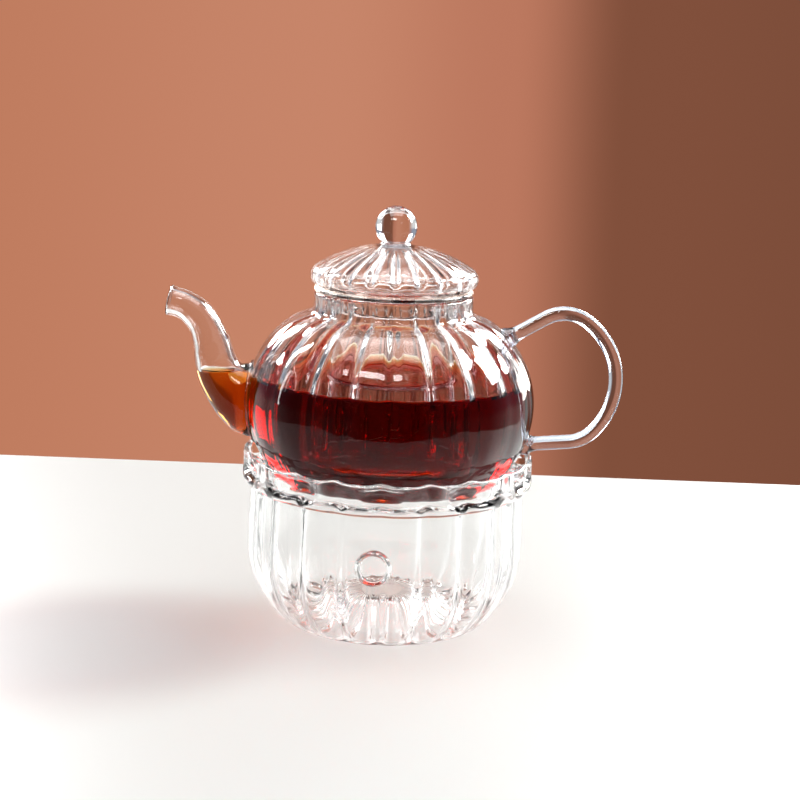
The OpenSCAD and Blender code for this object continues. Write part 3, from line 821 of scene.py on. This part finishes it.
# %% Slits and rim
SLIT_PITCH, SLIT_HALF, NEAR_SLIT = 18, 1.2, 4  # degrees

def turn_from(line, spot):
    """Degrees from a line round the axis to a spot, between -180 and 180."""
    return (math.degrees(math.atan2(spot.y, spot.x)) - line + 180) % 360 - 180

def in_slit(face):
    spot = face.calc_center_median() / MM
    column = turn_from(0, spot) % SLIT_PITCH
    side = abs(face.normal.z) < 0.2 and math.hypot(spot.x, spot.y) > CUP_R - CUP_WALL - 0.3
    height = spot.z - CUP_FLOOR - SLIT_START
    return side and 0 < height < SLIT_TALL and not SLIT_HALF < column < SLIT_PITCH - SLIT_HALF

slit_faces = [f for f in cup_bm.faces if in_slit(f)]
bmesh.ops.delete(cup_bm, geom=slit_faces, context="FACES")
open_edges = [e for e in cup_bm.edges if e.is_boundary]
for line in range(0, 360, SLIT_PITCH):
    near_slit = [e for e in open_edges if e.is_valid and e.is_boundary
                 and abs(turn_from(line, e.verts[0].co + e.verts[1].co)) < NEAR_SLIT]
    bmesh.ops.bridge_loops(cup_bm, edges=near_slit)
bmesh.ops.recalc_face_normals(cup_bm, faces=cup_bm.faces)
for face in cup_bm.faces:
    rim_spot = face.calc_center_median() / MM
    if math.hypot(rim_spot.x, rim_spot.y) > CUP_R + 1.5:
        face.material_index = 1
print("slit faces", len(slit_faces), "open edges left", sum(e.is_boundary for e in cup_bm.edges))
finish_piece(cup_bm, "infuser_cup_wall", "infuser_cup", infuser_glass,
             ["infuser_base", "infuser_wall", "infuser_rim"], [ground_glass_painted_warm])

# %% [markdown]
# ## Lid
# The lid is one folded wall: a low ribbed crown, a rolled edge, a short run back underneath and a
# collar that drops into the infuser. The ribs start near the knob and stand on the inner face, and the
# outside is almost smooth.

# %% Lid shell
dome_low, dome_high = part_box("lid_dome")
flange_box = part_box("lid_flange")
FLANGE_R, FLANGE_BEND = flange_box[1].x / MM, 1.2
LID_R, LID_EDGE, CROWN = dome_high.x / MM, 4.8, 62.7
crown_turn = math.degrees(math.asin((LID_R - LID_EDGE) / (CROWN - LID_EDGE)))
LID_TOP = dome_high.z / MM
drop = dome_low.z / MM - flange_box[0].z / MM
lid_rows = wall_outline((0, LID_TOP), 0, [
    (CROWN, -crown_turn), (LID_EDGE, crown_turn - 180), (0, LID_R - LID_EDGE - FLANGE_R - FLANGE_BEND),
    (FLANGE_BEND, 90), (0, drop - FLANGE_BEND - WALL / 2)], -WALL, spacing=1.2)

def lid_push(turn, radius, height, share):
    on_crown = smooth_step(height, dome_low.z / MM + 1.5, dome_low.z / MM + 6)
    depth = (0.15 + 1.45 * share) * smooth_step(radius, 9, 24) * on_crown * rib_at(turn, POT_RIB)
    return depth, 0 * depth, 0 * depth

lid_bm = lathe(lid_rows)
press(lid_bm, lid_rows, lid_push)
finish_piece(lid_bm, "lid_shell", "lid", lid_glass, ["lid_dome", "lid_flange"])

# %% [markdown]
# ## Knob
# A solid ball on a short melted neck. Solid glass this round is a strong lens and turns the room upside
# down. Its foot follows the crown a hair below the crown's own face, so the two read as one glass.

# %% Knob
knob_low, knob_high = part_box("lid_knob")
KNOB_R = (knob_high.x - knob_low.x) / 2 / MM
knob_z = knob_high.z / MM - KNOB_R
NECK_HALF, SPREAD = 6.4, 1.9

def crown_height(r):
    return LID_TOP - CROWN + math.sqrt(CROWN ** 2 - r ** 2)

cut = knob_z - math.sqrt(KNOB_R ** 2 - NECK_HALF ** 2)
foot_r = NECK_HALF + SPREAD
rise = cut - crown_height(foot_r)
UNDER_CROWN = 0.06
knob_rows = [(foot_r * i / 6, crown_height(foot_r * i / 6) - UNDER_CROWN) for i in range(7)]
for turn in range(10, 90, 10):
    swing = math.radians(turn)
    knob_rows.append((NECK_HALF - 0.3 + (SPREAD + 0.3) * (1 - math.sin(swing)),
                      crown_height(foot_r) + rise * (1 - math.cos(swing))))
first_turn = math.degrees(math.asin((cut - knob_z) / KNOB_R)) + 4
for i in range(25):
    swing = math.radians(first_turn + (90 - first_turn) * i / 24)
    knob_rows.append((KNOB_R * math.cos(swing) if i < 24 else 0.0, knob_z + KNOB_R * math.sin(swing)))
knob_bm = lathe(knob_rows, sides=72)
finish_piece(knob_bm, "ball_knob", "lid", knob_glass, ["lid_knob", "knob_stem"])

# %% [markdown]
# ## Warmer
# The warmer is a low ribbed bowl with its base pushed up in the middle. Above a slight waist it opens
# into a collar, and ten thumb dents round the collar carry the pot. Dents and ribs are moves of the same
# points, so both faces of the wall follow them. The rim lifts a little over every rib. Outside, the collar
# starts at a crisp ledge, and inside the wall swings out softly behind it.

# %% Warmer outline
collar_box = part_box("warmer_collar")
BOWL_R, BOWL_Z, BOWL_BEND, FOOT_EDGE = 60.8, 33.9, 45.0, 8.0
RIM_Z = collar_box[1].z / MM
foot_turn = math.degrees(math.acos((BOWL_Z - FOOT_EDGE) / (BOWL_BEND - FOOT_EDGE)))
foot_r = BOWL_R - FOOT_EDGE * sine(foot_turn) - BOWL_BEND * (1 - sine(foot_turn))
PUNT_Z, PUNT_R, PUNT_BEND, SLOPE = 9.0, 14.0, 10.0, 35
punt_fall = (PUNT_Z - 2 * PUNT_BEND * (1 - cosine(SLOPE))) / sine(SLOPE)
foot_flat = foot_r - PUNT_R - 2 * PUNT_BEND * sine(SLOPE) - punt_fall * cosine(SLOPE)
WAIST_BEND, WAIST_TURN = 231.0, 4
warmer_steps = [
    (0, PUNT_R), (PUNT_BEND, -SLOPE), (0, punt_fall), (PUNT_BEND, SLOPE), (0, foot_flat),
    (FOOT_EDGE, foot_turn), (BOWL_BEND, 90 - foot_turn), (WAIST_BEND, WAIST_TURN),
]
waist = trace((0, PUNT_Z), 0, warmer_steps)[0][-1]
print("waist radius", round(waist.x, 2), "at z", round(waist.y, 2))

# %% Warmer collar
COLLAR_LOW, COLLAR_R, LEDGE_Z = 68.3, 63.58, 61.6
STEP_BEND, UPRIGHT_BEND = 8.0, 30.0
step_out = COLLAR_R - waist.x
step_turn = math.degrees(math.acos(1 - step_out / 2 / STEP_BEND))
step_tall = 2 * STEP_BEND * sine(step_turn)
step_run = COLLAR_LOW - waist.y - UPRIGHT_BEND * sine(WAIST_TURN) - step_tall
warmer_steps += [(UPRIGHT_BEND, -WAIST_TURN), (0, step_run), (STEP_BEND, -step_turn), (STEP_BEND, step_turn)]
collar = trace((0, PUNT_Z), 0, warmer_steps)[0][-1]
warmer_steps.append((0, RIM_Z - WALL / 2 - collar.y))
warmer_rows = wall_outline((0, PUNT_Z), 0, warmer_steps, WALL, spacing=0.95)
print("collar radius", round(collar.x, 2), "from z", round(collar.y, 2), "to", round(RIM_Z, 2))

# %% Warmer wall with ribs and dents
DENTS, DENT_Z, DENT_DEPTH = 10, 69.0, 7.0
DENT_HALF_WIDE, DENT_HALF_TALL = 10.4, 3.6
STROKES = 40  # fine lines that run outwards under the base
ABOVE_BOWL = 52  # ledge and dents are in the wall above this height

def warmer_push(turn, radius, height, share):
    line = rib_at(turn)
    fade = smooth_step(radius, 12, 26) * (1 - 0.25 * smooth_step(height, 60, 66))
    on_base = 1 - smooth_step(height, 6, 14)
    depth = (0.4 + 1.0 * share) * fade * line * (1 - 0.6 * on_base * (1 - share))
    pitch = math.tau / DENTS
    off = (turn - FIRST_RIB + pitch / 2) % pitch - pitch / 2
    across = np.exp(-(np.abs(off * collar.x / DENT_HALF_WIDE) ** 4))
    upwards = np.exp(-((np.abs(height - DENT_Z) / DENT_HALF_TALL) ** 4))
    dent = DENT_DEPTH * across * upwards * (height > ABOVE_BOWL)
    near_middle = smooth_step(radius, 8, 14) * (1 - smooth_step(radius, 30, 38))
    fine = 0.35 * (0.5 + 0.5 * np.cos(STROKES * turn)) * near_middle
    depth = depth + fine * on_base * (1 - share)
    crisp = smooth_step(height, LEDGE_Z - 0.6, LEDGE_Z + 0.6)
    soft = smooth_step(height, COLLAR_LOW - step_tall, COLLAR_LOW)
    ledge = step_out * (crisp - soft) * (1 - share) * (height > ABOVE_BOWL)
    lift = 0.9 * line * smooth_step(height, 67, RIM_Z)
    return depth, ledge - dent, lift

warmer_bm = lathe(warmer_rows)
press(warmer_bm, warmer_rows, warmer_push)
print("dents", DENTS, "ribs", RIBS)

# %% Air hole
VENT_Z, VENT_TURN, VENT_R = 39.2, math.radians(-93.8), 5.4
vent_out = Vector((math.cos(VENT_TURN), math.sin(VENT_TURN), 0))
vent_side = Vector((-vent_out.y, vent_out.x, 0))
open_hole(
    warmer_bm, lambda co: (co.dot(vent_side) / MM, co.z / MM - VENT_Z),
    lambda u, w: (vent_side * u + Vector((0, 0, w))) * MM,
    VENT_R + 1.0, lambda co: co.dot(vent_out) > 0,
)
bmesh.ops.recalc_face_normals(warmer_bm, faces=warmer_bm.faces)
finish_piece(warmer_bm, "warmer_wall", "warmer", warmer_glass,
             ["warmer_base", "warmer_bowl", "warmer_collar"])

# %% [markdown]
# The air hole's edge was melted round and stands a little proud: a ring with an oval section, spun
# round the hole's own axis and carried to its place in the wall.

# %% Air hole ring
ring_bm = bmesh.new()
oval = bmesh.ops.create_circle(ring_bm, segments=20, radius=1, matrix=(
    Matrix.Translation((6.55 * MM, 0, -0.9 * MM)) @ Matrix.Rotation(math.radians(90), 4, "X")
    @ Matrix.Diagonal((1.15 * MM, 2.35 * MM, 1, 1))))["verts"]
bmesh.ops.spin(ring_bm, geom=oval + ring_edges(oval), cent=(0, 0, 0), axis=(0, 0, 1), angle=math.tau,
               steps=64, use_merge=True, use_duplicate=False)
bmesh.ops.remove_doubles(ring_bm, verts=ring_bm.verts, dist=MERGE)
bmesh.ops.recalc_face_normals(ring_bm, faces=ring_bm.faces)
wall_there = BOWL_R - 0.1
out_frame = Matrix((
    (vent_side.x, 0, vent_out.x, vent_out.x * wall_there * MM),
    (vent_side.y, 0, vent_out.y, vent_out.y * wall_there * MM),
    (0, 1, 0, VENT_Z * MM), (0, 0, 0, 1),
))
bmesh.ops.transform(ring_bm, matrix=out_frame, verts=ring_bm.verts)
bmesh.ops.recalc_face_normals(ring_bm, faces=ring_bm.faces)
finish_piece(ring_bm, "air_hole_ring", "warmer", warmer_glass, ["vent_ring"])

# %% [markdown]
# ## Tea in the pot and in the spout
# The liquid's body is turned from the pot's own inner face, a hair inside it, and takes the same ribs.
# Its free top is a separate sheet that creeps up each wall it touches, which draws the bright line
# round the infuser and along the pot. The spout's share is cut level at the same height.

# %% Tea in the pot
HAIR = 0.03
points, angles = trace((0, BASE_Z), 0, pot_steps[:4])
tea_rows = [(*(p + left_of(a) * (WALL + HAIR)), *left_of(a), 1.0) for p, a in zip(points, angles)]
tea_edge = tea_rows[-1][0]
tea_rows += [(tea_edge * (1 - i / 12), TEA_Z - HAIR, -1.0, 0.0, 1.0) for i in range(1, 13)]

def tea_push(turn, radius, height, share):
    inward, out, up = pot_push(turn, radius, height, share)
    on_top = height > TEA_Z - 2 * HAIR
    wall_part = np.where(on_top, smooth_step(radius, tea_edge - 8, tea_edge - 0.5), 1.0)
    return inward * 0, (out - inward) * wall_part, up

tea_bm = lathe(tea_rows)
press(tea_bm, tea_rows, tea_push)
finish_piece(tea_bm, "tea_in_pot", "pot", tea_liquid)

# %% Tea's free surface
def top_rows(pairs):
    return [(r, TEA_Z + rise, -1.0, 0.0, 1.0) for r, rise in pairs]

within_cup = top_rows([(0, 0), (6, 0), (12, 0), (18, 0), (22, 0), (23.6, 0.08), (24.6, 0.3), (25.2, 0.6),
                       (25.6, 0.95), (25.77, 1.3)])
round_cup = top_rows([(27.63, 1.3), (27.85, 0.95), (28.3, 0.6), (29, 0.3), (30.2, 0.08), (33, 0), (38, 0),
                      (43, 0), (48, 0), (53, 0), (55.6, 0.06), (57.0, 0.25), (57.9, 0.55), (58.5, 0.9),
                      (58.85, 1.3)])

def top_push(turn, radius, height, share):
    depth = pot_push(turn, radius * 0 + tea_edge, height * 0 + TEA_Z - 1, share)[1]
    return depth * 0, depth * smooth_step(radius, 48, 58.5), depth * 0

surface_bm = lathe(within_cup)
outer_bm = lathe(round_cup)
press(outer_bm, round_cup, top_push)
outer_mesh = bpy.data.meshes.new("outer_top")
outer_bm.to_mesh(outer_mesh)
outer_bm.free()
surface_bm.from_mesh(outer_mesh)
bpy.data.meshes.remove(outer_mesh)
for face in surface_bm.faces:
    if face.normal.z < 0:
        face.normal_flip()
finish_piece(surface_bm, "tea_surface", "pot", tea_top)

# %% Tea in the spout
spout_tea_bm = bmesh.new()
level_rings = [i for i in range(len(spout_run)) if spout_run[i][1] < TEA_Z + 12]
rings = [spout_ring(spout_tea_bm, i, SPOUT_WALL + HAIR) for i in level_rings]
rings.append(root_ring(spout_tea_bm, ROOT_HALF - SPOUT_WALL - HAIR, SQUEEZE, -HAIR))
rings.append(root_ring(spout_tea_bm, HOLE_R - 0.1, 1.0, -HAIR))
rings.append(root_ring(spout_tea_bm, HOLE_R - 0.1, 1.0, WALL))
bridge_all(spout_tea_bm, rings)
bmesh.ops.edgeloop_fill(spout_tea_bm, edges=ring_edges(rings[-1]))
cut_edges = bmesh.ops.bisect_plane(
    spout_tea_bm, geom=spout_tea_bm.verts[:] + spout_tea_bm.edges[:] + spout_tea_bm.faces[:],
    plane_co=(0, 0, (TEA_Z - HAIR) * MM), plane_no=(0, 0, 1), clear_outer=True)["geom_cut"]
bmesh.ops.edgeloop_fill(spout_tea_bm, edges=[g for g in cut_edges if isinstance(g, bmesh.types.BMEdge)])
bmesh.ops.recalc_face_normals(spout_tea_bm, faces=spout_tea_bm.faces)
level = [v.co.copy() for v in spout_tea_bm.verts if abs(v.co.z - (TEA_Z - HAIR) * MM) < 1e-6]
finish_piece(spout_tea_bm, "tea_in_spout", "pot", tea_liquid)

disc_bm = bmesh.new()
centre = sum(level, Vector()) / len(level)
level.sort(key=lambda co: math.atan2(co.y - centre.y, co.x - centre.x))
steps = []
for share, rise in ((1.0, 1.1), (0.96, 0.6), (0.9, 0.25), (0.8, 0.05), (0.6, 0.0), (0.3, 0.0)):
    loop = [disc_bm.verts.new(centre + (co - centre) * share + Vector((0, 0, rise * MM))) for co in level]
    for pair in zip(loop, loop[1:] + loop[:1]):
        disc_bm.edges.new(pair)
    steps.append(loop)
bridge_all(disc_bm, steps)
bmesh.ops.edgeloop_fill(disc_bm, edges=ring_edges(steps[-1]))
for face in disc_bm.faces:
    if face.normal.z < 0:
        face.normal_flip()
finish_piece(disc_bm, "tea_surface_in_spout", "pot", tea_top)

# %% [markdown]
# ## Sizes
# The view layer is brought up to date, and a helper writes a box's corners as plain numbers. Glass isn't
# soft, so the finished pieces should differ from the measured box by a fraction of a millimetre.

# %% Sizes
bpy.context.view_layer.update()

def plain(bounds):
    return [[float(v) for v in corner] for corner in bounds]
